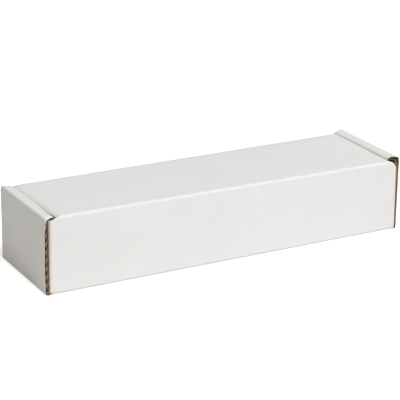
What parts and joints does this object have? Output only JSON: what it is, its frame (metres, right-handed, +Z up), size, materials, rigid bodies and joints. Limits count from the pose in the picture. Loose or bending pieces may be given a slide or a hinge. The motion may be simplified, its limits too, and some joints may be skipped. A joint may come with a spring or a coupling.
{
  "type": "long shipping box",
  "caption": "Long one-piece mailing box of white corrugated board with rolled-over ends and a hinged lid that tucks inside the front wall.",
  "frame": {"origin": "on the floor under the middle of the closed box", "axes": "+X along the box, +Y towards the long wall that the lid tucks into, +Z up"},
  "size_m": [0.2968, 0.0824, 0.0592],
  "materials": {
    "white_board": "matt white-lined corrugated board with raw brown cut edges"
  },
  "bodies": {
    "tray": {"tray": "white_board"},
    "lid": {"lid": "white_board"}
  },
  "joints": [
    {"name": "lid_hinge", "type": "hinge", "parent": "tray", "child": "lid", "pos_m": [0, -0.04056, 0.05656], "axis": [1, 0, 0], "range_deg": [0, 180]}
  ]
}
